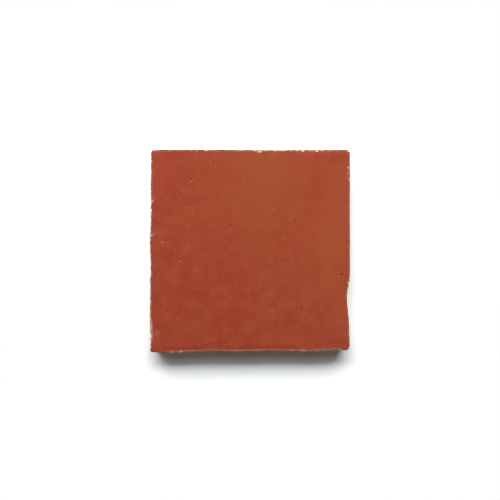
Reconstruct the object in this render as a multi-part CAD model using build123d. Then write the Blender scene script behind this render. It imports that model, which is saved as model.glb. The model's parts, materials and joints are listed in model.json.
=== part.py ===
from build123d import *
from math import radians, sin, tan
import os

# A zellige tile: one square of clay cut by hand, fired, and glazed on its face.
# Millimetres. The origin is the middle of the back, +Z out of the glazed face,
# +Y towards the side that is uppermost in use and +X towards the right-hand side.

# Size of the cut square
face_width = 99.4
face_height = 100.8
thickness = 11.0

# How far each corner strays from the true square: to the right, and up
top_left_drift = (0.40, 0.05)
top_right_drift = (0.05, -0.30)
bottom_right_drift = (0.10, 0.55)
bottom_left_drift = (-0.25, -0.35)

# What each worn corner takes off the upper or lower side, and off the left or right side
top_left_wear = (1.1, 1.1)
top_right_wear = (1.9, 2.4)
bottom_right_wear = (2.7, 2.2)
bottom_left_wear = (1.0, 1.3)

# Where the knife left the straight line on each side, going clockwise:
# how far along from the side's first corner, and how far out
top_strays = ((20.0, 0.06), (36.0, 0.08), (43.0, -0.24), (60.0, -0.19), (80.0, -0.12))
bottom_strays = ((6.5, -0.13), (15.0, 0.2), (44.0, -0.05), (52.0, 0.14), (74.0, -0.07), (82.0, 0.18))
left_strays = (
    (8.5, -0.17), (16.0, 0.28), (26.0, 0.16), (33.0, 0.05),
    (44.5, -0.16), (52.0, 0.23), (64.0, 0.03), (80.0, 0.12),
)

# The same on the right-hand side and the hollow in it, both measured up from the bottom right corner
right_strays = ((85.0, -0.10), (72.0, 0.18), (62.0, -0.15), (46.0, 0.12), (6.5, -0.10))
hollow_from_bottom = 26.1
hollow_depth = 1.6
hollow_above = 11.0
hollow_below = 12.0
hollow_slope = 0.6
hollow_slope_depth = 0.5
hollow_upper_lip = 0.05
hollow_lower_lip = 0.22

# The side wall: an upright arris under the glaze, then cut back to the rear
arris_depth = 2.6
undercut_angle = 11.0
arris_roll = 0.6

# The hand-pressed face: how far its crown stands above the corners, and where the crown lies
face_crown = 0.35
crown_x = -9.0
crown_y = 7.0

# Flake scars from the cutting hammer: they open from the arris down to the back
blow_pitch = 9.5
flake_depth = 0.95
flake_scatter = 0.5
blow_scatter = 0.22
scatter_turn = 2.4
scatter_start = 0.7

# How far a cutting shape runs past the clay that it cuts
overrun = 5.0

waist = thickness - arris_depth
undercut = waist * tan(radians(undercut_angle))


def scatter(count):
    """A steady unevenness between -1 and 1 for a counted hammer blow."""
    return sin(scatter_turn * count + scatter_start)


def on_side(start, end, reach, out=0.0):
    """The point that is reach along from start towards end, and out to the left-hand side of the way."""
    way = (end - start).normalized()
    return start + way * reach + Vector(-way.Y, way.X) * out


def corners(inset, height):
    """Where the sides would meet at this height, clockwise from the top left."""
    half_w, half_h = face_width / 2 - inset, face_height / 2 - inset
    square = ((-half_w, half_h), (half_w, half_h), (half_w, -half_h), (-half_w, -half_h))
    drifts = (top_left_drift, top_right_drift, bottom_right_drift, bottom_left_drift)
    return [Vector(x + dx, y + dy, height) for (x, y), (dx, dy) in zip(square, drifts)]


def right_way(length):
    """The right-hand side's strays and then the hollow's lips, slopes and floor, down a side this long."""
    floor = hollow_from_bottom
    hollow = (
        (floor + hollow_above, -hollow_upper_lip * hollow_depth),
        (floor + hollow_slope * hollow_above, -hollow_slope_depth * hollow_depth),
        (floor, -hollow_depth),
        (floor - hollow_slope * hollow_below, -hollow_slope_depth * hollow_depth),
        (floor - hollow_below, -hollow_lower_lip * hollow_depth),
    )
    return [(length - height, out) for height, out in sorted(right_strays + hollow, reverse=True)]


def cut_sides(inset, height):
    """The knife's line down each side, clockwise from the upper one, brought in all round by inset."""
    places = corners(inset, height)
    right_length = (places[2] - places[1]).length + 2 * inset
    strays = (top_strays, right_way(right_length), bottom_strays, left_strays)
    wear = (top_left_wear, top_right_wear, bottom_right_wear, bottom_left_wear)
    lines = []
    for side in range(4):
        following = (side + 1) % 4
        start, end = places[side], places[following]
        upright = side % 2
        way = [on_side(start, end, wear[side][upright])]
        way += [on_side(start, end, reach - inset, out) for reach, out in strays[side]]
        way += [on_side(end, start, wear[following][upright])]
        lines.append(Edge.make_spline(way))
    return lines


def worn_corner(side, following):
    """The rounding that runs smoothly from the end of one side into the start of the following one."""
    return Edge.make_spline([side @ 1, following @ 0], tangents=[side % 1, following % 0])


def pressed_crown():
    """A huge ball of clay whose top, over the crown, is the hand-pressed face."""
    half_diagonal = (face_width ** 2 + face_height ** 2) ** 0.5 / 2
    radius = half_diagonal ** 2 / (2 * face_crown)
    return Pos(crown_x, crown_y, thickness - radius) * Rot(0, 90, 0) * Sphere(radius)


def glazed_slab():
    """The front of the tile: upright sides, the hand-pressed face and the edge rolled between them."""
    outline = []
    sides = cut_sides(0, waist)
    for side, following in zip(sides, sides[1:] + sides[:1]):
        outline += [side, worn_corner(side, following)]
    slab = Solid.extrude(Face(Wire(outline)), Vector(0, 0, arris_depth + overrun))
    slab = (slab & pressed_crown()).solid()
    face = slab.faces().sort_by(Axis.Z)[-1]
    return slab.fillet(arris_roll, face.edges())


def blow_ends(side):
    """Where each hammer blow down a side stops and the next begins, from 0 to 1 along it."""
    blows = max(1, round(side.length / blow_pitch))
    between = [(blow + blow_scatter * scatter(blow)) / blows for blow in range(1, blows)]
    return [0.0] + between + [1.0]


def flake(side, start, end, count):
    """The hollow line that one blow leaves along the back of a side, between two places along it."""
    middle = (start + end) / 2
    way = side % middle
    inward = Vector(way.Y, -way.X)
    deepest = side @ middle + inward * flake_depth * (1 + flake_scatter * scatter(count))
    return Edge.make_three_point_arc(side @ start, deepest, side @ end)


def hammered_body():
    """The clay behind the slab: walls that lean in to a smaller back, flaked off blow by blow."""
    front, rear = [], []
    fronts, rears = cut_sides(0, waist), cut_sides(undercut, 0)
    for side in range(4):
        following = (side + 1) % 4
        ends = blow_ends(fronts[side])
        for start, end in zip(ends, ends[1:]):
            front.append(fronts[side].trim(start, end))
            rear.append(flake(rears[side], start, end, len(rear)))
        front.append(worn_corner(fronts[side], fronts[following]))
        rear.append(worn_corner(rears[side], rears[following]))
    return Solid.make_loft([Wire(rear), Wire(front)], ruled=True)


def zellige_tile():
    """The whole tile, one piece of clay from its glazed face to its back."""
    return hammered_body() + glazed_slab()


os.makedirs("parts", exist_ok=True)
export_step(zellige_tile(), "parts/zellige_tile.step")
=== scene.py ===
import json
from math import radians

import bpy
from mathutils import Matrix, Vector, noise

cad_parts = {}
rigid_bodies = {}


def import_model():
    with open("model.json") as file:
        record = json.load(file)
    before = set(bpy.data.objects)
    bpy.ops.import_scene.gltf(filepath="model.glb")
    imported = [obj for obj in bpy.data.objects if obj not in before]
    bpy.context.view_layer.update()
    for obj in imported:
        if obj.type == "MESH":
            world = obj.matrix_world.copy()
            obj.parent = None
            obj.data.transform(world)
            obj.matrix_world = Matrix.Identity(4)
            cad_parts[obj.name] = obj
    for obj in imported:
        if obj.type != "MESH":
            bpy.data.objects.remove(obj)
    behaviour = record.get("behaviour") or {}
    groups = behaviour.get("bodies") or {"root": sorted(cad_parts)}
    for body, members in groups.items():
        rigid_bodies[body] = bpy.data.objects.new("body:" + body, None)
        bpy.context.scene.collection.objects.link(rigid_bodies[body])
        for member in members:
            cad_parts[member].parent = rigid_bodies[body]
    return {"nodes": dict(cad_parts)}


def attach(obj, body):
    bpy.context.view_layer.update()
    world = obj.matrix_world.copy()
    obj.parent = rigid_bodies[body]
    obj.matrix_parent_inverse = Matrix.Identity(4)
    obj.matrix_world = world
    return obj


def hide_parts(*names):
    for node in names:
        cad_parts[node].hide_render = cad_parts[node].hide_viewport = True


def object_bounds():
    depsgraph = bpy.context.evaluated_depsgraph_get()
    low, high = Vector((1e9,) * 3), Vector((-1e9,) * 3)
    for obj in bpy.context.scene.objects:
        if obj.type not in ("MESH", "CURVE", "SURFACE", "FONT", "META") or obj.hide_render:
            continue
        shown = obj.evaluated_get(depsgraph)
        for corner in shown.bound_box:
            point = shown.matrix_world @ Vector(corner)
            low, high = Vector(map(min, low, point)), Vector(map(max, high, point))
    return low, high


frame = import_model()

cadLow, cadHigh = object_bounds()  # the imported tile's own box, before anything is dressed
mm = 0.001


def deselectAll():
    if bpy.context.object and bpy.context.object.mode != "OBJECT":
        bpy.ops.object.mode_set(mode="OBJECT")
    bpy.ops.object.select_all(action="DESELECT")


def makeActive(obj):
    deselectAll()
    obj.select_set(True)
    bpy.context.view_layer.objects.active = obj


def applyModifier(obj, kind, **settings):
    makeActive(obj)
    modifier = obj.modifiers.new(kind.title(), kind)
    for name, value in settings.items():
        setattr(modifier, name, value)
    bpy.ops.object.modifier_apply(modifier=modifier.name)


def joinAll(objects, name):
    deselectAll()
    for obj in objects:
        obj.select_set(True)
    bpy.context.view_layer.objects.active = objects[0]
    bpy.ops.object.join()
    objects[0].name = name
    return objects[0]


def triangleCount(obj):
    return sum(len(polygon.vertices) - 2 for polygon in obj.data.polygons)


def fade(low, high, value):  # 0 below low, 1 above high, smooth between
    share = min(1, max(0, (value - low) / (high - low)))
    return share * share * (3 - 2 * share)


def addNode(tree, kind, inputs=None, **settings):
    node = tree.nodes.new("ShaderNode" + kind)
    for name, value in settings.items():
        setattr(node, name, value)
    for socket, value in (inputs or {}).items():
        if isinstance(value, bpy.types.NodeSocket):
            tree.links.new(value, node.inputs[socket])
        else:
            node.inputs[socket].default_value = value
    return node


def shade(red, green, blue):  # a colour as a picker shows it, 0 to 255, made linear for the shader
    linear = []
    for part in (red / 255, green / 255, blue / 255):
        linear.append(part / 12.92 if part <= 0.04045 else ((part + 0.055) / 1.055) ** 2.4)
    return (*linear, 1)


def blend(tree, factor, first, second):  # all first where factor is 0, all second where it is 1
    inputs = {0: factor, 6: first, 7: second}
    return addNode(tree, "Mix", inputs, data_type="RGBA", clamp_factor=True).outputs[2]


def sums(tree, operation, first, second, clamp=False):
    return addNode(tree, "Math", {0: first, 1: second}, operation=operation, use_clamp=clamp).outputs[0]


def plus(tree, first, second):
    return sums(tree, "ADD", first, second)


def minus(tree, first, second):
    return sums(tree, "SUBTRACT", first, second)


def times(tree, first, second, clamp=False):
    return sums(tree, "MULTIPLY", first, second, clamp)


def larger(tree, first, second):
    return sums(tree, "MAXIMUM", first, second)


def spread(tree, value, low, high, toLow=0.0, toHigh=1.0):  # stretches low..high to toLow..toHigh
    inputs = {0: value, 1: low, 2: high, 3: toLow, 4: toHigh}
    return addNode(tree, "MapRange", inputs, clamp=True).outputs[0]


def speckle(tree, place, size, detail=2.0, roughness=0.5):  # soft noise with lumps about this size
    inputs = {"Vector": place, "Scale": 1 / size, "Detail": detail, "Roughness": roughness}
    return addNode(tree, "TexNoise", inputs, noise_dimensions="3D").outputs[0]


def heightAt(tree, place):
    return addNode(tree, "SeparateXYZ", {0: place}).outputs[2]


# The upper edge of the tile, in millimetres
rim = {
    "height": 9,        # only what stands higher than this makes the edge
    "ends": 48.9,       # past this, along a side, lies the worn corner
    "rise": (6, 8),     # heights at which the wall starts to follow the edge's strays, and does so fully
    "reach": (0.5, 4),  # the face follows them fully this near the edge, and not at all this far in
    "inner": 44,        # nothing nearer the middle than this is moved
    "inside": 0.02,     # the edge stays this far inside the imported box
    "tooth": (1.5, 3),  # length and height of the teeth that the broken rim is left with
    "teeth": {"top": 0.15, "right": 0.2, "bottom": 0.08, "left": 0.45},  # how far they stand out or in
}
outwards = {"top": (0, 1, 0), "right": (1, 0, 0), "bottom": (0, -1, 0), "left": (-1, 0, 0)}


def sidesAt(x, y):  # each side, with how far along it and how far out from the middle a place lies
    return (("top", x, y), ("right", y, x), ("bottom", x, -y), ("left", y, -x))


def edgeMap(obj):  # where the upper edge of each side lies, once a millimetre along it
    edges = {"top": {}, "right": {}, "bottom": {}, "left": {}}
    for vertex in obj.data.vertices:
        x, y, z = vertex.co / mm
        if z > rim["height"]:
            for side, along, out in sidesAt(x, y):
                step = round(along)
                edges[side][step] = max(out, edges[side].get(step, 0))
    return edges


def edgeAt(edge, along):
    along = min(rim["ends"], max(-rim["ends"], along))
    step = int(along // 1)
    return edge[step] + (edge[step + 1] - edge[step]) * (along - step)


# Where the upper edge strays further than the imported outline: place along a side, then outwards, in mm
strays = {
    "top": [
        (-50, -0.9), (-48.6, -0.1), (-42, 0.3), (-24, 0.3), (-21.5, -0.1), (-12, 0.35), (-7, 0.4),
        (1, 0.5), (7, 0.3), (14, 0.2), (20, 0.35), (30, 0.4), (46, 0.45), (50, 0.5),
    ],
    "right": [
        (-49, 0), (-33, 0), (-28, 0.2), (-16, 0.2), (-10, 0.05), (-1, 0.1), (5, 0.4), (17, 0.4),
        (22, 0.15), (27, 0.15), (34, 0.4), (50, 0.4),
    ],
    "bottom": [],
    "left": [(-49, 0), (-40, 0.1), (0, 0.1), (5, 0.2), (9, 0), (49, 0)],
}


def between(points, along):  # reads a list of places and values, smoothly from one to the next
    if not points or along < points[0][0] or along > points[-1][0]:
        return 0
    for (start, low), (end, high) in zip(points, points[1:]):
        if along <= end:
            return low + (high - low) * fade(start, end, along)


def toothAt(side, along, z):  # each side has its own teeth
    length, height = rim["tooth"]
    return rim["teeth"][side] * mm * noise.noise(Vector((along / length, 9 * len(side), z / height)))


def strayEdges(obj):
    edges = edgeMap(obj)
    inside = rim["inside"] * mm
    for vertex in obj.data.vertices:
        x, y, z = vertex.co / mm
        if z < rim["rise"][0] or max(abs(x), abs(y)) < rim["inner"]:
            continue
        upper = fade(*rim["rise"], z)
        for side, along, out in sidesAt(x, y):
            near = 1 - fade(*rim["reach"], edgeAt(edges[side], along) - out)
            push = between(strays[side], along) * mm + toothAt(side, along, z)
            vertex.co += push * near * upper * Vector(outwards[side])
        for axis in (0, 1):
            vertex.co[axis] = min(cadHigh[axis] - inside, max(cadLow[axis] + inside, vertex.co[axis]))


# The body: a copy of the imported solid, remeshed fine enough to take the clay's grain.
# Relief is given as the size of its lumps, then its depth
body = {
    "grid": 0.3 * mm,
    "wallHeave": (3.2 * mm, 0.45 * mm),  # torn lumps down the walls
    "wallSpall": (2.6 * mm, 0.50 * mm),  # small scooped breaks between the blows
    "wallGrit": (0.9 * mm, 0.22 * mm),
    "backHeave": (4.5 * mm, 0.10 * mm),
    "faceWave": (16 * mm, 0.09 * mm),    # the glaze lies in long shallow waves
    "faceDimple": (4 * mm, 0.02 * mm),
    "wallFoot": (0.2 * mm, 0.5 * mm),    # heights at which the walls' relief sets in, and the back's ends
    "wallTop": (7.6 * mm, 9.0 * mm),     # heights at which the walls' relief dies out
    "faceEdge": (9.5 * mm, 10.2 * mm),   # heights at which the face's sets in
    "triangles": 150000,
}


def onWalls(vertex):
    return (1 - fade(*body["wallTop"], vertex.co.z)) * fade(*body["wallFoot"], vertex.co.z)


def onBack(vertex):
    return 1 - fade(*body["wallFoot"], vertex.co.z)


def onFace(vertex):
    return fade(0.5, 0.9, vertex.normal.z) * fade(*body["faceEdge"], vertex.co.z)


def onLevel(vertex):  # the face and the back, which can be thinned more than the walls
    return fade(0.9, 0.99, abs(vertex.normal.z))


def markGroup(obj, name, weigh):  # a vertex group, with the weight of each vertex in eight steps
    steps = {}
    for vertex in obj.data.vertices:
        step = round(8 * weigh(vertex))
        if step:
            steps.setdefault(step, []).append(vertex.index)
    group = obj.vertex_groups.new(name=name)
    for step, members in steps.items():
        group.add(members, step / 8, "REPLACE")


def carve(obj, group, kind, relief, **settings):  # sinks a group's surface, never raises it
    texture = bpy.data.textures.new(group + kind, kind)
    texture.noise_scale, depth = relief
    for name, value in settings.items():
        setattr(texture, name, value)
    applyModifier(
        obj, "DISPLACE", texture=texture, texture_coords="LOCAL", direction="NORMAL",
        mid_level=1.0, strength=depth, vertex_group=group,
    )


def makeBody():
    node = frame["nodes"]["zellige_tile"]
    obj = bpy.data.objects.new("fired_tile", node.data.copy())
    bpy.context.scene.collection.objects.link(obj)
    makeActive(obj)
    bpy.ops.object.mode_set(mode="EDIT")
    bpy.ops.mesh.select_all(action="SELECT")
    bpy.ops.mesh.remove_doubles(threshold=0.001 * mm)
    bpy.ops.object.mode_set(mode="OBJECT")
    obj.data.materials.clear()
    applyModifier(obj, "REMESH", mode="VOXEL", voxel_size=body["grid"])
    strayEdges(obj)

    markGroup(obj, "walls", onWalls)
    markGroup(obj, "back", onBack)
    markGroup(obj, "face", onFace)
    carve(obj, "walls", "CLOUDS", body["wallHeave"], noise_depth=2)
    carve(obj, "walls", "VORONOI", body["wallSpall"], noise_intensity=1.0)
    carve(obj, "walls", "CLOUDS", body["wallGrit"], noise_depth=1)
    carve(obj, "back", "CLOUDS", body["backHeave"], noise_depth=2)
    carve(obj, "face", "CLOUDS", body["faceWave"], noise_depth=1)
    carve(obj, "face", "CLOUDS", body["faceDimple"], noise_depth=0)

    markGroup(obj, "level", onLevel)
    full = triangleCount(obj)
    applyModifier(
        obj, "DECIMATE", ratio=body["triangles"] / full, vertex_group="level",
        vertex_group_factor=1.0, use_collapse_triangulate=True,
    )
    print("body:", triangleCount(obj), "triangles of", full)
    return obj


# Chips knocked off the arris, in millimetres: place, then length along the edge, bite inwards, drop
chips = {
    "top": [
        (-37.6, 50.6, 1.2, 0.35, 0.9), (-33.9, 50.6, 1.4, 0.4, 1.0), (-26.7, 50.0, 1.7, 0.35, 0.7),
        (-22.0, 50.7, 1.7, 0.9, 2.0), (-6.2, 50.6, 3.2, 0.45, 1.2), (-3.4, 50.5, 1.2, 0.35, 0.8),
        (2.3, 50.4, 1.8, 0.8, 1.4), (4.7, 49.8, 2.6, 0.8, 0.8), (7.8, 50.6, 3.4, 0.5, 2.0),
        (12.4, 50.3, 2.2, 0.5, 1.0), (17.2, 50.5, 3.4, 0.5, 1.8), (20.6, 50.4, 1.4, 0.35, 0.9),
        (23.6, 50.4, 1.6, 0.45, 0.9), (26.3, 50.2, 1.5, 0.9, 1.0), (30.0, 50.5, 2.6, 0.4, 1.2),
        (33.4, 50.1, 1.6, 0.85, 1.0), (36.0, 50.3, 1.4, 0.5, 0.8), (43.4, 50.5, 2.2, 0.3, 0.9),
    ],
    "corner": [(49.3, 50.3, 2.2, 1.0, 1.4)],
    "right": [
        (49.2, 41.7, 1.5, 0.7, 0.45), (48.9, 39.0, 0.9, 0.5, 0.35), (49.9, 36.0, 1.2, 0.8, 1.4),
        (49.9, 27.4, 0.9, 0.4, 1.0), (49.9, 18.2, 1.0, 0.3, 1.0), (49.2, -15.7, 1.5, 0.7, 1.2),
        (49.2, -41.0, 1.0, 0.3, 0.8), (49.3, -48.6, 1.2, 0.6, 1.2),
    ],
    "left": [
        (-49.5, 44.9, 1.5, 0.7, 1.0), (-49.7, 38.4, 0.8, 0.4, 1.6), (-49.6, 29.3, 1.5, 0.5, 1.4),
        (-49.5, 25.0, 2.0, 1.1, 0.9), (-49.6, 8.1, 1.8, 1.1, 0.8), (-50.0, -4.5, 1.0, 0.5, 1.6),
        (-49.9, -9.9, 1.2, 0.6, 1.8), (-50.1, -17.2, 0.9, 0.35, 1.2), (-50.0, -21.7, 1.2, 0.5, 2.0),
        (-50.1, -25.6, 2.2, 0.6, 2.2), (-50.1, -29.8, 1.2, 0.5, 1.6), (-50.0, -33.6, 1.8, 0.6, 2.0),
        (-50.2, -38.3, 2.0, 0.7, 2.4), (-49.8, -41.8, 3.0, 0.9, 1.6), (-50.0, -45.6, 1.8, 0.6, 1.6),
    ],
    "bottom": [
        (-39.2, -50.5, 1.5, 0.55, 0.7), (-34.6, -50.4, 2.2, 0.7, 0.6), (-30.5, -50.7, 1.2, 0.4, 0.8),
        (-6.5, -50.5, 1.0, 0.4, 0.9), (8.5, -50.4, 1.2, 0.5, 0.9), (26.5, -49.9, 3.2, 0.7, 0.8),
        (33.2, -49.9, 1.4, 0.6, 0.9), (39.8, -49.8, 1.6, 0.9, 0.9), (45.2, -49.5, 1.4, 0.9, 1.0),
    ],
}
alongEdge = {"top": 0, "corner": -45, "right": 90, "left": 90, "bottom": 0}

# The jagged lump that breaks a chip out
stone = {
    "faceTop": 10.75 * mm,
    "lift": 0.12 * mm,         # its middle stands this far above the face near the edge
    "facets": (1.1, 0.30),     # how close together, to a millimetre, and how deep for its size
    "grit": (3.6, 0.10),
    "shift": (3.7, 1.9, 0.6),  # from one stone to the next, so that no two break alike
}


def makeStone(place, size, turn, seed):
    deselectAll()
    bpy.ops.mesh.primitive_ico_sphere_add(subdivisions=3, radius=1)
    obj = bpy.context.object
    bpy.ops.object.mode_set(mode="EDIT")
    bpy.ops.mesh.select_all(action="SELECT")
    bpy.ops.transform.resize(value=[part / 2 for part in size])
    bpy.ops.object.mode_set(mode="OBJECT")
    shift = Vector([part * seed for part in stone["shift"]])
    often, deep = stone["facets"]
    gritOften, gritDeep = stone["grit"]
    for vertex in obj.data.vertices:
        where = vertex.co / mm
        facets = deep * noise.noise(where * often + shift)
        vertex.co *= 1 + facets + gritDeep * noise.noise(where * gritOften + shift)
    obj.rotation_euler.z = radians(turn)
    obj.location = place
    bpy.ops.object.transform_apply(location=True, rotation=True, scale=True)
    return obj


def cutAway(obj, cutter, material):  # what the cut lays open takes the cutter's material
    cutter.data.materials.clear()
    cutter.data.materials.append(material)
    applyModifier(
        obj, "BOOLEAN", operation="DIFFERENCE", solver="MANIFOLD", material_mode="TRANSFER", object=cutter,
    )
    bpy.data.objects.remove(cutter)


def breakEdges(obj, clay):
    stones = []
    for side, places in chips.items():
        for x, y, length, bite, drop in places:
            middle = Vector((x * mm, y * mm, stone["faceTop"] + stone["lift"]))
            size = (length * mm, 2 * bite * mm, 2 * drop * mm)
            stones.append(makeStone(middle, size, alongEdge[side], len(stones)))
    print("chips:", len(stones))
    cutAway(obj, joinAll(stones, "chipCutter"), clay)


# Burst bubbles in the glaze, in millimetres: place, then width. The pale ones show clay; the dark ones are
# lined with glaze painted darker, as shade in the hollow
pits = {
    "pale": [
        (-29.3, 34.8, 1.0), (-19.6, 44.3, 0.8), (-22.0, 31.8, 0.65), (-36.6, 28.3, 0.7),
        (-28.8, 18.1, 0.75), (-38.6, 17.3, 0.55), (-44.1, 4.3, 1.0), (-34.8, -5.2, 1.1),
        (-27.6, -9.7, 0.6), (-27.6, -18.7, 0.7), (-30.6, -20.2, 0.5), (11.0, -30.2, 1.0),
        (11.5, -33.7, 0.6), (24.2, -30.2, 0.8), (26.5, -34.2, 0.7), (23.5, -38.2, 0.7),
        (25.5, -43.2, 0.6), (22.0, -43.7, 0.6), (13.5, -39.7, 0.55), (-8.8, -40.0, 0.55),
        (-9.1, -46.5, 0.6), (11.5, 21.1, 0.6), (-3.1, 34.3, 0.65), (17.5, 6.3, 0.6),
        (17.5, -6.4, 0.6), (34.0, 5.8, 0.65), (43.0, 12.8, 0.65), (41.0, -3.7, 0.65),
        (27.9, -14.5, 0.6), (-27.8, 47.8, 0.8), (11.0, 47.8, 0.8), (-18.1, 21.3, 0.8),
        (-31.3, 11.7, 0.65), (-19.3, 6.3, 0.6), (-35.2, 35.6, 0.5), (-27.6, 35.6, 0.45),
        (-33.3, 29.6, 0.45), (-20.3, 26.3, 0.5), (-8.1, 18.3, 0.5), (-9.8, 10.8, 0.5),
        (4.9, -7.7, 0.5), (29.7, -3.7, 0.5), (39.9, -9.0, 0.55), (30.4, -17.4, 0.5),
        (20.2, -19.0, 0.5), (4.7, -32.0, 0.5), (-45.0, 31.6, 0.5), (-42.0, 11.0, 0.45),
        (41.6, -47.0, 0.6), (8.7, 49.0, 0.45), (11.4, 49.2, 0.45), (13.2, 49.4, 0.5),
        (24.1, 49.6, 0.5),
    ],
    "dark": [
        (5.7, 19.3, 0.6), (22.5, 14.8, 0.9), (30.0, 21.3, 0.6), (-9.4, 12.4, 0.9),
        (-12.4, 6.6, 0.6), (4.5, 5.3, 0.6), (14.2, 8.3, 0.6), (31.0, -0.2, 0.6),
        (46.0, -11.7, 1.1), (22.5, -4.2, 0.6), (26.2, -28.4, 0.8), (20.1, -33.8, 0.8),
        (4.8, -40.6, 0.7), (-39.0, -33.7, 0.6), (35.6, -37.4, 0.8), (-16.5, -15.2, 0.6),
        (-21.0, 40.3, 0.7), (-14.0, 41.8, 0.6), (19.0, 28.8, 0.6), (-19.5, 6.8, 0.6),
        (12.0, -30.4, 0.6), (12.4, -33.0, 0.5), (24.6, -37.8, 0.5), (-45.0, 3.6, 0.5),
        (-27.0, -17.2, 0.6), (-8.8, -41.4, 0.5), (37.4, 6.0, 0.5), (-48.1, 25.9, 0.5),
        (-22.1, 26.1, 0.5), (-31.8, 23.3, 0.6), (18.2, -5.0, 0.5), (28.7, -13.5, 0.6),
        (35.2, -8.0, 0.6), (22.2, -39.4, 0.5), (-29.9, 18.4, 0.5), (-28.2, 17.4, 0.45),
    ],
}

# The bubble that leaves a pit
bubble = {
    "above": 12 * mm,     # the face is looked for from this height down
    "faceTop": 10.9 * mm,
    "lift": 0.12,         # its middle stands this share of its width above the face
    "specular": 0.1,
}


def makePits(obj, kind, material):
    balls = []
    for x, y, width in pits[kind]:
        above = Vector((x * mm, y * mm, bubble["above"]))
        hit, place = obj.ray_cast(above, Vector((0, 0, -1)))[:2]
        height = place.z if hit else bubble["faceTop"]
        middle = (x * mm, y * mm, height + bubble["lift"] * width * mm)
        deselectAll()
        bpy.ops.mesh.primitive_ico_sphere_add(subdivisions=2, radius=width / 2 * mm, location=middle)
        balls.append(bpy.context.object)
        bpy.ops.object.transform_apply(location=True, rotation=True, scale=True)
    print("pits:", kind, len(balls))
    cutAway(obj, joinAll(balls, kind + "Bubbles"), material)


# Along the arris the glaze is thin and lets clay through, or pools, and its outer roll takes painted shade
# and is bitten to the clay: from, to, how much
arris = {
    "thinGlaze": {
        "top": [(-49, -12, 0.4), (-12, -2, 0.5), (-2, 48, 0.45)],
        "right": [(-47, 46, 0.4)],
        "bottom": [(-45, -36, 0.65), (-36, 47, 0.8)],
        "left": [(-49, -45, 0.4), (-45, -36, 1.15), (-36, -19, 0.7), (-19, 46, 0.45)],
    },
    "pooledGlaze": {
        "top": [(-44, -20, 0.2)],
        "right": [(-20, 16, 0.2)],
        "bottom": [(-44, -24, 0.6), (-14, 24, 0.7)],
        "left": [(-46, -12, 0.2)],
    },
    "arrisShadeAndWear": {
        "top": [(-50, -9, 1.0), (-9, 48, 0.9)],
        "right": [(-50, -15, 0.5), (-15, 50, 0.7)],
        "bottom": [(-46, 48, 0.35)],
        "left": [(-50, 50, 1.0)],
    },
}
arrisEase = 2  # a stretch sets in and dies out over twice this, in millimetres


# Also paints how strongly the rim's outer roll takes painted shade, and where it is bitten to the clay
def paintArris(obj, edges):  # distance in from the edge, and how thin or thick the glaze is there
    painted = {"edgeDistance": [], "thinGlaze": [], "pooledGlaze": [], "arrisShadeAndWear": []}
    for vertex in obj.data.vertices:
        x, y, z = vertex.co / mm
        gaps = {}
        for side, along, out in sidesAt(x, y):
            gaps[edgeAt(edges[side], along) - out] = (side, along)
        nearest = min(gaps)
        side, along = gaps[nearest]
        painted["edgeDistance"].append(nearest * mm)
        for name in arris:
            value = 0
            for start, end, share in arris[name][side]:
                begun = fade(start - arrisEase, start + arrisEase, along)
                value += share * begun * (1 - fade(end - arrisEase, end + arrisEase, along))
            painted[name].append(value)
    for name, values in painted.items():
        obj.data.attributes.new(name, "FLOAT", "POINT")
        obj.data.attributes[name].data.foreach_set("value", values)
    print("arris:", ", ".join(painted))


# The glaze: its colours, some with the size of their lumps and their share below them
glazeFinish = {
    "red": shade(164, 71, 46),
    "deepRed": shade(154, 59, 43),
    "mottle": 7 * mm,
    "orange": shade(164, 80, 46),
    "drift": (22 * mm, 0.5),
    "rosy": shade(166, 66, 62),
    "blush": (5 * mm, 0.22),
    "dusk": shade(150, 57, 32),        # where it lies a little thicker
    "dawn": shade(178, 85, 60),        # and thinner
    "thickness": (6 * mm, 0.32, 0.30),
    "olive": shade(146, 76, 48),
    "specks": (0.9 * mm, 0.3),
    "amber": shade(170, 83, 50),
    "ochre": shade(168, 90, 54),
    "bright": shade(172, 72, 50),
    "pool": shade(148, 50, 40),
    "thin": shade(170, 104, 90),
    # painted shade for the outer roll of the arris, which turns away from the light
    "rollShade": shade(92, 56, 46),
    # painted shade: glaze darker than the face, lining the dark pits
    "pitShade": shade(134, 46, 28),
    "clouds": [                        # where it turns another red: x, y, from and to how far out, share
        ("orange", 8, 30, 8, 52, 0.6), ("amber", 52, 6, 6, 34, 0.7), ("bright", -46, 34, 2, 12, 0.5),
        ("ochre", 8, 48, 4, 22, 0.3), ("bright", 27, 46.5, 2, 8, 0.35),
        ("thin", -46.9, -41.3, 0.6, 2.4, 0.55), ("thin", -48.2, 25.8, 0.4, 2.0, 0.5),
        ("thin", -48.4, 8.4, 0.4, 1.8, 0.5), ("amber", 50, -28, 4, 22, 0.45),
        ("amber", 51, 38, 2, 13, 0.55),
    ],
    "poolBand": (0.7 * mm, 1.2 * mm, 1.6 * mm, 3.4 * mm),  # in from the edge: sets in, full to, gone
    "thinReach": (0.5 * mm, 1.5 * mm),       # thin this far in, and as much further where thinGlaze is 1
    # how far in from the edge the painted shade and the bitten rim reach
    "brinkBand": (0.25 * mm, 0.85 * mm),
    "line": (9.4 * mm, 3.2 * mm, 2.8 * mm),  # height at which it stops, its wander, length of the runs
    "roughness": (0.15, 0.22),
    "pitRoughness": 0.4,
    "proud": 3.4,                            # how far it stands off the clay, against the grit's 1
}

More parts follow.
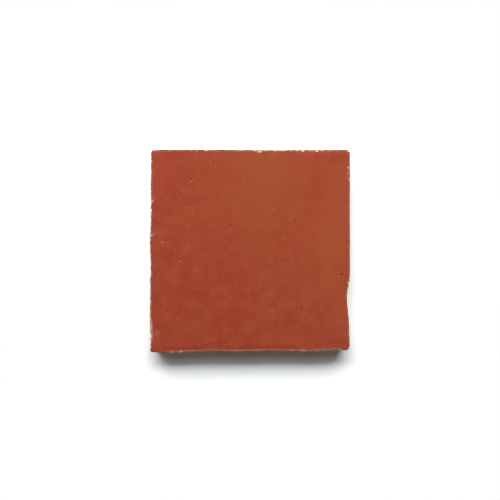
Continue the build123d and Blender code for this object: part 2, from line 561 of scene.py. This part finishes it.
# The clay, written in the same way
clayFinish = {
    "fired": shade(200, 148, 122),
    "dusty": shade(184, 146, 124),
    "patches": 7 * mm,
    "pale": shade(228, 184, 160),
    "grains": (0.5 * mm, 0.6),
    "grog": shade(136, 88, 68),
    "grogGrains": (0.8 * mm, 0.7),
    "skin": shade(168, 116, 92),       # left from the mould, along the lower rim and on the back
    "skinFray": (3 * mm, 0.6),
    "skinTop": (1.9 * mm, 2.5 * mm),
    # painted shade: the colour of the pores, darker where they sink into the clay
    "pore": shade(120, 78, 60),
    "poreSize": 1.2 * mm,
    "stained": shade(201, 120, 93),    # the clay in a burst bubble has taken up some of the glaze
    "freshness": 0.6,                  # share of pale clay in a fresh break
    "roughness": 0.92,
    "marks": (1.4 * mm, 3.0),          # relief: size, and depth against the grit's 1
    "facets": (2.6 * mm, 2.0),
    "poreDepth": 1.5,
    "grit": 0.4 * mm,
    "freshGrit": 0.35 * mm,
}


def newMaterial(name):
    material = bpy.data.materials.new(name)
    material.use_nodes = True
    tree = material.node_tree
    tree.nodes.clear()
    shader = addNode(tree, "BsdfPrincipled")
    addNode(tree, "OutputMaterial", {"Surface": shader.outputs[0]})
    place = addNode(tree, "TexCoord").outputs["Object"]
    return material, tree, shader, place


def clayPores(tree, place):
    return spread(tree, speckle(tree, place, clayFinish["poreSize"], 1), 0.68, 0.73)


def clayColour(tree, place):
    patches = spread(tree, speckle(tree, place, clayFinish["patches"], 4, 0.6), 0.35, 0.65)
    colour = blend(tree, patches, clayFinish["fired"], clayFinish["dusty"])
    size, share = clayFinish["grains"]
    grains = times(tree, spread(tree, speckle(tree, place, size, 3, 0.6), 0.50, 0.72), share)
    colour = blend(tree, grains, colour, clayFinish["pale"])
    size, share = clayFinish["grogGrains"]
    grog = times(tree, spread(tree, speckle(tree, place, size, 1), 0.68, 0.74), share)
    colour = blend(tree, grog, colour, clayFinish["grog"])
    size, share = clayFinish["skinFray"]
    frayed = plus(tree, heightAt(tree, place), times(tree, speckle(tree, place, size, 4, 0.6), size))
    skin = spread(tree, frayed, *clayFinish["skinTop"], share, 0.0)
    colour = blend(tree, skin, colour, clayFinish["skin"])
    # the pores, which the relief sinks, are painted darker as shade
    return blend(tree, clayPores(tree, place), colour, clayFinish["pore"])


def clayRelief(tree, place):  # tool marks running down the wall, torn facets, pores and grit
    down = addNode(tree, "Mapping", {0: place, 3: (1, 1, 0.3)}).outputs[0]
    size, depth = clayFinish["marks"]
    marks = times(tree, speckle(tree, down, size, 3, 0.6), depth)
    size, depth = clayFinish["facets"]
    cells = addNode(tree, "TexVoronoi", {"Vector": place, "Scale": 1 / size}, feature="F1")
    relief = plus(tree, marks, times(tree, cells.outputs["Distance"], depth))
    relief = minus(tree, relief, times(tree, clayPores(tree, place), clayFinish["poreDepth"]))
    return plus(tree, relief, speckle(tree, place, clayFinish["grit"], 3, 0.7))


def makeClay():  # freshly broken, where a chip came off
    material, tree, shader, place = newMaterial("brokenClay")
    colour = blend(tree, clayFinish["freshness"], clayColour(tree, place), clayFinish["pale"])
    tree.links.new(colour, shader.inputs["Base Color"])
    shader.inputs["Roughness"].default_value = clayFinish["roughness"]
    grit = speckle(tree, place, clayFinish["freshGrit"], 3, 0.7)
    bump = addNode(tree, "Bump", {"Height": grit, "Strength": 0.6, "Distance": 0.08 * mm})
    tree.links.new(bump.outputs[0], shader.inputs["Normal"])
    return material


def makeBubble(name, colour, roughness):
    material, tree, shader, place = newMaterial(name)
    shader.inputs["Base Color"].default_value = colour
    shader.inputs["Roughness"].default_value = roughness
    shader.inputs["Specular IOR Level"].default_value = bubble["specular"]
    return material


def glazeColour(tree, place):  # red with slow drifts of orange, soft mottles and a few olive specks
    mottle = spread(tree, speckle(tree, place, glazeFinish["mottle"], 4, 0.7), 0.36, 0.66)
    glaze = blend(tree, mottle, glazeFinish["red"], glazeFinish["deepRed"])
    size, share = glazeFinish["drift"]
    drift = times(tree, spread(tree, speckle(tree, place, size, 3, 0.65), 0.36, 0.66), share)
    glaze = blend(tree, drift, glaze, glazeFinish["orange"])
    size, share = glazeFinish["blush"]
    blush = spread(tree, speckle(tree, place, size, 2), 0.45, 0.68, 0.0, share)
    glaze = blend(tree, blush, glaze, glazeFinish["rosy"])
    size, duskShare, dawnShare = glazeFinish["thickness"]
    thickness = speckle(tree, place, size, 3, 0.9)
    glaze = blend(tree, spread(tree, thickness, 0.32, 0.50, duskShare, 0.0), glaze, glazeFinish["dusk"])
    glaze = blend(tree, spread(tree, thickness, 0.50, 0.68, 0.0, dawnShare), glaze, glazeFinish["dawn"])
    for colour, x, y, start, end, share in glazeFinish["clouds"]:
        middle = (x * mm, y * mm, 11 * mm)
        away = addNode(tree, "VectorMath", {0: place, 1: middle}, operation="DISTANCE").outputs["Value"]
        cloud = spread(tree, away, start * mm, end * mm, share, 0.0)
        glaze = blend(tree, cloud, glaze, glazeFinish[colour])
    size, share = glazeFinish["specks"]
    specks = times(tree, spread(tree, speckle(tree, place, size, 2), 0.66, 0.74), share)
    return blend(tree, specks, glaze, glazeFinish["olive"])


def makeTileFinish():
    material, tree, shader, place = newMaterial("glazeOverClay")
    height = heightAt(tree, place)
    painted = {}
    for name in ("edgeDistance", "thinGlaze", "pooledGlaze", "arrisShadeAndWear"):
        attribute = addNode(tree, "Attribute", attribute_name=name, attribute_type="GEOMETRY")
        painted[name] = attribute.outputs["Fac"]
    fromEdge = painted["edgeDistance"]
    glaze = glazeColour(tree, place)

    # it pools just inside the arris
    ragged = minus(tree, speckle(tree, place, 1.6 * mm, 3), 0.5)
    near = plus(tree, fromEdge, times(tree, ragged, 0.9 * mm))
    start, full, ease, end = glazeFinish["poolBand"]
    pool = times(tree, spread(tree, near, start, full), spread(tree, near, ease, end, 1.0, 0.0))
    pool = times(tree, pool, painted["pooledGlaze"])
    glaze = blend(tree, pool, glaze, glazeFinish["pool"])

    # it runs thin over the arris
    least, more = glazeFinish["thinReach"]
    reach = plus(tree, times(tree, painted["thinGlaze"], more), least)
    over = spread(tree, near, 0.1 * mm, reach, 1.0, 0.0)
    thin = times(tree, over, plus(tree, painted["thinGlaze"], 0.3), clamp=True)
    glaze = blend(tree, thin, glaze, glazeFinish["thin"])

    # on the very edge the glaze is bitten away to the clay in places, and elsewhere painted dark as shade
    # on the outer roll
    teeth = speckle(tree, place, 1.8 * mm, 3, 0.6)
    brink = spread(tree, fromEdge, *glazeFinish["brinkBand"], 1.0, 0.0)
    bitten = times(tree, brink, spread(tree, teeth, 0.36, 0.42, 1.0, 0.0))
    brink = times(tree, brink, spread(tree, teeth, 0.42, 0.56))
    # the painted shade is fainter lower down the roll and strongest near the face
    brink = times(tree, brink, spread(tree, height, 9.0 * mm, 9.9 * mm, 0.35, 1.0))
    glaze = blend(tree, times(tree, brink, painted["arrisShadeAndWear"]), glaze, glazeFinish["rollShade"])

    # it stops part way down the arris in a wandering line, with a few longer runs and a thick lip
    lineHeight, lineWander, runLength = glazeFinish["line"]
    wander = minus(tree, speckle(tree, place, 5 * mm, 4, 0.6), 0.5)
    flattened = addNode(tree, "Mapping", {0: place, 3: (1, 1, 0)}).outputs[0]
    runs = spread(tree, speckle(tree, flattened, 4 * mm, 1), 0.56, 0.72)
    line = minus(tree, lineHeight, times(tree, runs, runLength))
    line = plus(tree, line, times(tree, wander, lineWander))
    above = minus(tree, height, line)
    glazed = spread(tree, above, -0.06 * mm, 0.06 * mm)
    lip = spread(tree, above, 0.1 * mm, 0.7 * mm, 1.0, 0.0)
    glaze = blend(tree, times(tree, lip, 0.5), glaze, glazeFinish["pool"])

    # where it is thinnest it has worn through to the clay
    bare = plus(tree, thin, times(tree, speckle(tree, place, 1.1 * mm, 3, 0.6), 0.9))
    worn = larger(tree, spread(tree, bare, 1.12, 1.32), times(tree, bitten, painted["arrisShadeAndWear"]))
    covered = times(tree, glazed, minus(tree, 1.0, worn))
    uncovered = minus(tree, 1.0, covered)
    tree.links.new(blend(tree, covered, clayColour(tree, place), glaze), shader.inputs["Base Color"])

    # satin to glossy on the face, dull along the brink and on the clay
    gloss = spread(tree, speckle(tree, place, 3 * mm, 3), 0.3, 0.7, *glazeFinish["roughness"])
    gloss = plus(tree, gloss, times(tree, spread(tree, near, 0.2 * mm, 1.0 * mm, 1.0, 0.0), 0.4))
    clayRough = times(tree, uncovered, clayFinish["roughness"])
    tree.links.new(plus(tree, clayRough, times(tree, covered, gloss)), shader.inputs["Roughness"])
    shine = spread(tree, fromEdge, 0.2 * mm, 0.7 * mm, 0.05, 0.5)
    tree.links.new(shine, shader.inputs["Specular IOR Level"])

    relief = times(tree, clayRelief(tree, place), uncovered)
    relief = plus(tree, relief, times(tree, speckle(tree, place, 1.6 * mm, 2), 0.05))
    relief = plus(tree, relief, times(tree, covered, glazeFinish["proud"]))
    bump = addNode(tree, "Bump", {"Height": relief, "Strength": 0.7, "Distance": 0.1 * mm})
    tree.links.new(bump.outputs[0], shader.inputs["Normal"])
    return material


# Studio: a white sheet, a large soft lamp beyond the upper side, a weak one overhead, an even fill.
# The key isn't mirrored: its reflection would bleach the glaze in the low views
studio = {
    "key": {"tilt": 50, "turn": 3, "distance": 1.2, "size": (2.2, 0.92), "power": 31.5, "mirrored": False},
    "top": {"tilt": 20, "turn": 0, "distance": 1.2, "size": (1.0, 0.34), "power": 1.2, "mirrored": True},
    "fill": 0.05,
    "sheetWidth": 6,
    "sheetDrop": 0.01 * mm,
    "sheet": (0.85, 0.85, 0.85, 1),
    "sheetInView": (1.40, 1.45, 1.48, 1),  # seen whiter than it is, and without the blush of the clay
    "shadowReach": (0.09, 0.13),           # further out than this the sheet is seen plain white
    "horizon": (0.30, 0.75),               # glossy surfaces see a white horizon and a dark ceiling
}
white = (1, 1, 1, 1)


def makeLamp(name, tilt, turn, distance, size, power, mirrored):
    lamp = bpy.data.lights.new(name, "AREA")
    lamp.shape = "RECTANGLE"
    lamp.size, lamp.size_y = size
    lamp.energy = power
    holder = bpy.data.objects.new(name, lamp)
    bpy.context.scene.collection.objects.link(holder)
    turned = Matrix.Rotation(radians(turn), 3, "Z") @ Matrix.Rotation(-radians(tilt), 3, "X")
    away = turned @ Vector((0, 0, 1))
    holder.location = away * distance
    holder.rotation_euler = away.to_track_quat("Z", "Y").to_euler()
    holder.visible_glossy = mirrored


def makeSheet():
    deselectAll()
    bpy.ops.mesh.primitive_plane_add(size=studio["sheetWidth"], location=(0, 0, -studio["sheetDrop"]))
    sheet = bpy.context.object
    sheet.name = "white_sheet"
    bpy.ops.object.transform_apply(location=True, rotation=True, scale=True)
    material = bpy.data.materials.new("whiteSheet")
    material.use_nodes = True
    tree = material.node_tree
    tree.nodes.clear()
    place = addNode(tree, "TexCoord").outputs["Object"]
    rays = addNode(tree, "LightPath").outputs
    colour = blend(tree, rays["Is Camera Ray"], studio["sheet"], studio["sheetInView"])
    paper = addNode(tree, "BsdfDiffuse", {"Color": colour})
    glow = addNode(tree, "Emission", {"Color": white, "Strength": 1.0})
    fromMiddle = addNode(tree, "VectorMath", {0: place}, operation="LENGTH").outputs["Value"]
    seen = larger(tree, rays["Is Camera Ray"], rays["Is Glossy Ray"])
    plain = times(tree, spread(tree, fromMiddle, *studio["shadowReach"]), seen)
    mixed = addNode(tree, "MixShader", {0: plain, 1: paper.outputs[0], 2: glow.outputs[0]})
    addNode(tree, "OutputMaterial", {"Surface": mixed.outputs[0]})
    sheet.data.materials.append(material)


def makeAir():
    world = bpy.data.worlds.new("studioAir")
    bpy.context.scene.world = world
    world.use_nodes = True
    tree = world.node_tree
    tree.nodes.clear()
    rays = addNode(tree, "LightPath").outputs
    upwards = heightAt(tree, addNode(tree, "TexCoord").outputs["Generated"])
    low = spread(tree, upwards, *studio["horizon"], 1.0, 0.0)
    shiny = larger(tree, rays["Is Glossy Ray"], rays["Is Transmission Ray"])
    bright = larger(tree, rays["Is Camera Ray"], times(tree, shiny, low))
    fill = addNode(tree, "Background", {0: white, 1: studio["fill"]})
    plain = addNode(tree, "Background", {0: white, 1: 1.0})
    picked = addNode(tree, "MixShader", {0: bright, 1: fill.outputs[0], 2: plain.outputs[0]})
    addNode(tree, "OutputWorld", {"Surface": picked.outputs[0]})


def makeStudio():
    makeSheet()
    makeLamp("keySoftbox", **studio["key"])
    makeLamp("topSoftbox", **studio["top"])
    makeAir()
    print("studio: sheet, two lamps and air")


# Camera: straight down on the face with a long lens, 250 mm of sheet across the frame
camera = {
    "height": 1.5,
    "across": 0.25,
    "sensor": 36,
    "centre": (-0.05 * mm, 0.3 * mm),
    "faceHeight": 10.8 * mm,
    "farthest": 20,
}


def makeCamera():
    data = bpy.data.cameras.new("camera")
    data.sensor_width = camera["sensor"]
    data.lens = data.sensor_width * camera["height"] / camera["across"]
    data.clip_end = camera["farthest"]
    holder = bpy.data.objects.new("camera", data)
    bpy.context.scene.collection.objects.link(holder)
    holder.location = (*camera["centre"], camera["height"] + camera["faceHeight"])
    bpy.context.scene.camera = holder
    bpy.context.scene.view_settings.view_transform = "Standard"
    print("camera: lens", round(data.lens), "mm")


makeCamera()
makeStudio()
tile = makeBody()
tile.data.materials.append(makeTileFinish())
edges = edgeMap(tile)
makePits(tile, "pale", makeBubble("stainedClay", clayFinish["stained"], clayFinish["roughness"]))
# the dark pits take the glaze with painted shade
makePits(tile, "dark", makeBubble("shadedPitLining", glazeFinish["pitShade"], glazeFinish["pitRoughness"]))
breakEdges(tile, makeClay())
paintArris(tile, edges)
makeActive(tile)
bpy.ops.object.shade_smooth_by_angle(angle=radians(38))
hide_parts("zellige_tile")
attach(tile, "root")
print("tile:", triangleCount(tile), "triangles")
